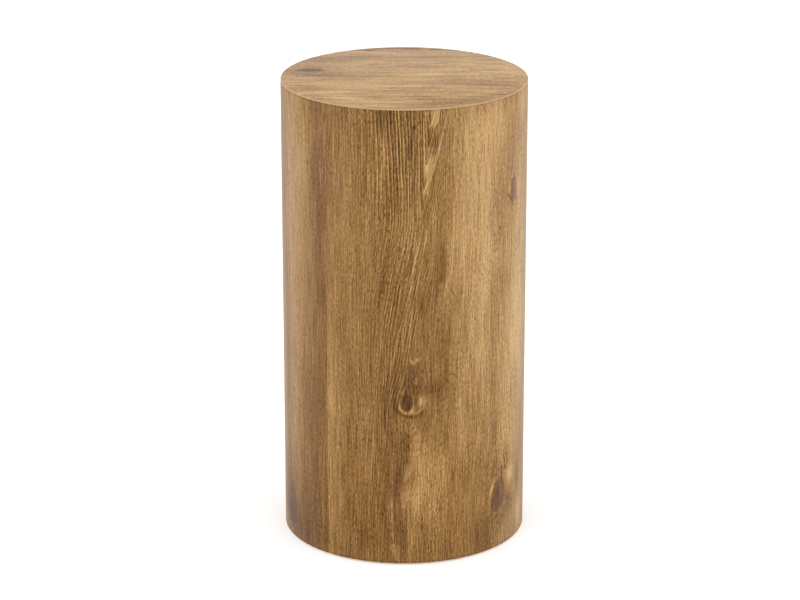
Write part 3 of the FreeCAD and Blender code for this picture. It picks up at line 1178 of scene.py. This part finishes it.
class SideSheetOperator(bpy.types.Operator):
    """Bends the printed sheet round the drum, with its seam at the back"""

    bl_idname = "drum_table.side_sheet"
    bl_label = "Side sheet"

    def execute(self, context):
        settings = context.scene.drum_table
        sizes = settings.sheet
        width = 2 * math.pi * DRUM_RADIUS - sizes.seam_gap
        height = SIDE_HIGH.z - SIDE_LOW.z
        start_alone()
        bpy.ops.mesh.primitive_grid_add(
            x_subdivisions=sizes.steps_round, y_subdivisions=sizes.steps_up, size=1.0, calc_uvs=True,
            rotation=(math.pi / 2, 0.0, 0.0), location=(0.0, 0.0, SIDE_LOW.z + height / 2),
        )
        sheet = context.object
        sheet.name = "side_print_sheet"
        sheet.scale = (width, height, 1.0)
        sheet.data.uv_layers[0].name = SHEET_MAP
        apply_place()
        bend = sheet.modifiers.new("bend", "SIMPLE_DEFORM")
        bend.deform_method = "BEND"
        bend.deform_axis = "Z"
        bend.angle = width / DRUM_RADIUS
        thicken = sheet.modifiers.new("thicken", "SOLIDIFY")
        thicken.thickness = sizes.thickness
        thicken.offset = -1.0
        soften = sheet.modifiers.new("soften", "BEVEL")
        soften.width = sizes.edge_round
        soften.segments = 2
        apply_modifiers(sheet)
        sheet.location = (0.0, -DRUM_RADIUS, 0.0)
        apply_place()
        smooth_below(30.0)
        dress(sheet, side_print(settings.wood, sizes), "side_decor", "side_laminate")
        return {"FINISHED"}


class TopDiscOperator(bpy.types.Operator):
    """Cuts the printed disc of the top and bevels its rim"""

    bl_idname = "drum_table.top_disc"
    bl_label = "Top disc"

    def execute(self, context):
        settings = context.scene.drum_table
        sizes = settings.disc
        start_alone()
        bpy.ops.mesh.primitive_circle_add(
            vertices=sizes.steps_round, radius=DRUM_RADIUS, fill_type="NGON", location=(0.0, 0.0, TOP_LOW.z)
        )
        disc = context.object
        disc.name = "top_print_disc"
        apply_place()
        use_mode("EDIT")
        bpy.ops.mesh.select_all(action="SELECT")
        thickness = TOP_HIGH.z - TOP_LOW.z
        bpy.ops.mesh.extrude_region_move(TRANSFORM_OT_translate={"value": (0.0, 0.0, thickness)})
        use_mode("OBJECT")
        middle = (TOP_LOW.z + TOP_HIGH.z) / 2
        select_edges(disc, lambda point: point.z > middle)
        bpy.ops.mesh.bevel(offset=sizes.bevel, segments=2, affect="EDGES", profile=0.6)
        tidy_mesh()
        smooth_below(20.0)
        dress(disc, top_print(settings.wood, sizes), "top_decor", "top_laminate")
        return {"FINISHED"}


def glide_foot(node, sizes):
    """One foot of a glide: a disc with a rounded lower rim and a moulding dimple in its sole."""
    low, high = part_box(node)
    middle = (low + high) / 2
    radius = (high.x - low.x) / 2
    start_alone()
    bpy.ops.mesh.primitive_cylinder_add(vertices=72, radius=radius, depth=high.z - low.z, location=middle)
    foot = bpy.context.object
    apply_place()
    select_edges(foot, lambda point: point.z < middle.z)
    bpy.ops.mesh.bevel(offset=sizes.rim_round, segments=4, affect="EDGES", profile=0.5)
    use_mode("OBJECT")
    select_parts(foot, "FACE", "polygons", lambda face: face.normal.z < -0.999 and len(face.vertices) > 4)
    bpy.ops.mesh.inset(thickness=radius - sizes.rim_round - sizes.dimple_radius)
    bpy.ops.mesh.inset(thickness=sizes.dimple_radius / 3, depth=-sizes.dimple_depth)
    tidy_mesh()
    smooth_below(40.0)
    return foot


def copy_foot(foot, node, other_node):
    """A copy of one glide's foot, with its own mesh, at another glide's place."""
    low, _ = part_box(node)
    other_low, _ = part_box(other_node)
    start_alone()
    foot.select_set(True)
    bpy.context.view_layer.objects.active = foot
    bpy.ops.object.duplicate(linked=False)
    bpy.context.object.location = other_low - low
    apply_place()
    return bpy.context.object


class GlideFeetOperator(bpy.types.Operator):
    """Moulds the four feet that the drum stands on"""

    bl_idname = "drum_table.glide_feet"
    bl_label = "Glide feet"

    def execute(self, context):
        settings = context.scene.drum_table
        plastic = glide_plastic(settings.inner)
        first, *others = GLIDE_NODES
        pattern = glide_foot(first, settings.glide)
        feet = {first: pattern}
        for node in others:
            feet[node] = copy_foot(pattern, first, node)
        for node, foot in feet.items():
            foot.name = node.replace("glide", "glide_foot")
            dress(foot, plastic, "glide_plastic", node)
        return {"FINISHED"}


class InnerFinishOperator(bpy.types.Operator):
    """Gives the pieces under the laminate their finishes"""

    bl_idname = "drum_table.inner_finish"
    bl_label = "Inner finishes"

    def execute(self, context):
        colours = context.scene.drum_table.inner
        finishes = {
            "fibreboard": fibreboard(colours),
            "softwood": softwood(colours),
            "zinc_steel": zinc_steel(colours),
        }
        for part in frame["record"]["subparts"]:
            material = finishes.get(part["material_slot"])
            if material:
                node = frame["nodes"][part["node"]]
                node.data.materials.clear()
                node.data.materials.append(material)
        return {"FINISHED"}


# The studio. Rays that are shorter than this pass the floor, so that light reaches the underside.

UNDERSIDE_REACH = 6 * MM


def seen_directly(finish):
    """1 for what the camera, a mirror or a glass sees, and 0 for soft light."""
    seen = 0.0
    for name in ("Is Camera Ray", "Is Glossy Ray", "Is Transmission Ray"):
        seen = finish.math("MAXIMUM", finish.node("ShaderNodeLightPath", outlet=name), seen)
    return seen


def light_world(studio):
    """White where it is seen, and a soft dome of light everywhere else."""
    finish = Finish("studio", "worlds")
    bpy.context.scene.world = finish.owner
    colour = solid((1.0, 1.0, 1.0))
    white = finish.node("ShaderNodeBackground", sockets={"Color": colour, "Strength": 1.0})
    dome = finish.node("ShaderNodeBackground", sockets={"Color": colour, "Strength": studio.dome})
    mixed = finish.node("ShaderNodeMixShader", sockets={0: seen_directly(finish), 1: dome, 2: white})
    finish.node("ShaderNodeOutputWorld", sockets={"Surface": mixed})


def floor_finish(studio):
    """A pale matt floor, clear from below and to short rays, so that the underside is seen and lit."""
    finish = Finish("floor")
    seen = seen_directly(finish)
    matt = finish.node("ShaderNodeBsdfDiffuse", sockets={"Color": solid(studio.bounce)})
    pale = finish.node("ShaderNodeBsdfDiffuse", sockets={"Color": solid(studio.floor)})
    glow = finish.node("ShaderNodeEmission", sockets={"Strength": studio.floor_glow})
    white = finish.node("ShaderNodeAddShader", sockets={0: pale, 1: glow})
    shown = finish.node("ShaderNodeMixShader", sockets={0: seen, 1: matt, 2: white})
    clear = finish.node("ShaderNodeBsdfTransparent")
    from_below = finish.node("ShaderNodeNewGeometry", outlet="Backfacing")
    ray_length = finish.node("ShaderNodeLightPath", outlet="Ray Length")
    close = finish.ease(ray_length, UNDERSIDE_REACH * 2, UNDERSIDE_REACH)
    through = finish.math("MAXIMUM", from_below, close)
    mixed = finish.node("ShaderNodeMixShader", sockets={0: through, 1: shown, 2: clear})
    finish.node("ShaderNodeOutputMaterial", sockets={"Surface": mixed})
    return finish.owner


def add_lamp(name, brightness, turn, tilt):
    """A broad soft lamp that shines from one side, as bright on a face square to it as brightness says."""
    lamp = bpy.data.lights.new(name, "SUN")
    lamp.energy = brightness * math.pi
    lamp.angle = math.radians(70.0)
    place = bpy.data.objects.new(name, lamp)
    place.rotation_euler = (math.radians(90.0 - tilt), 0.0, math.radians(turn))
    bpy.context.scene.collection.objects.link(place)


def add_camera(studio):
    lens = bpy.data.cameras.new("camera")
    lens.sensor_width = 36.0
    lens.lens = studio.camera_lens
    camera = bpy.data.objects.new("camera", lens)
    camera.location = (-studio.camera_aside, -studio.camera_back, studio.camera_up)
    camera.rotation_euler = (math.pi / 2 - studio.camera_tilt, 0.0, 0.0)
    bpy.context.scene.collection.objects.link(camera)
    bpy.context.scene.camera = camera


class StudioOperator(bpy.types.Operator):
    """Lays the floor and sets the camera and the light"""

    bl_idname = "drum_table.studio"
    bl_label = "Studio"

    def execute(self, context):
        studio = context.scene.drum_table.studio
        start_alone()
        bpy.ops.mesh.primitive_plane_add(size=60.0)
        floor = context.object
        floor.name = "floor"
        floor.data.materials.append(floor_finish(studio))
        light_world(studio)
        add_lamp("key_lamp", studio.key, turn=60.0, tilt=35.0)
        add_lamp("fill_lamp", studio.fill, turn=-60.0, tilt=30.0)
        add_camera(studio)
        context.scene.view_settings.view_transform = "Standard"
        return {"FINISHED"}


class DrumTablePanel(bpy.types.Panel):
    """The drum table's settings and steps"""

    bl_idname = "VIEW3D_PT_drum_table"
    bl_label = "Drum table"
    bl_space_type = "VIEW_3D"
    bl_region_type = "UI"
    bl_category = "Drum table"

    def draw(self, context):
        settings = context.scene.drum_table
        for step in STEPS:
            self.layout.operator(step.bl_idname)
        for group_name in DrumTableSettings.__annotations__:
            box = self.layout.box()
            group = getattr(settings, group_name)
            for name in type(group).__annotations__:
                box.prop(group, name)


GROUPS = (WoodColours, InnerColours, SheetSizes, DiscSizes, GlideSizes, StudioSettings, DrumTableSettings)
STEPS = (SideSheetOperator, TopDiscOperator, GlideFeetOperator, InnerFinishOperator, StudioOperator)
CLASSES = (*GROUPS, *STEPS, DrumTablePanel)


def register():
    for part in CLASSES:
        bpy.utils.register_class(part)
    bpy.types.Scene.drum_table = PointerProperty(type=DrumTableSettings)


def unregister():
    del bpy.types.Scene.drum_table
    for part in reversed(CLASSES):
        bpy.utils.unregister_class(part)


def main():
    register()
    bpy.ops.drum_table.side_sheet()
    bpy.ops.drum_table.top_disc()
    bpy.ops.drum_table.glide_feet()
    bpy.ops.drum_table.inner_finish()
    bpy.ops.drum_table.studio()


if __name__ == "__main__":
    main()
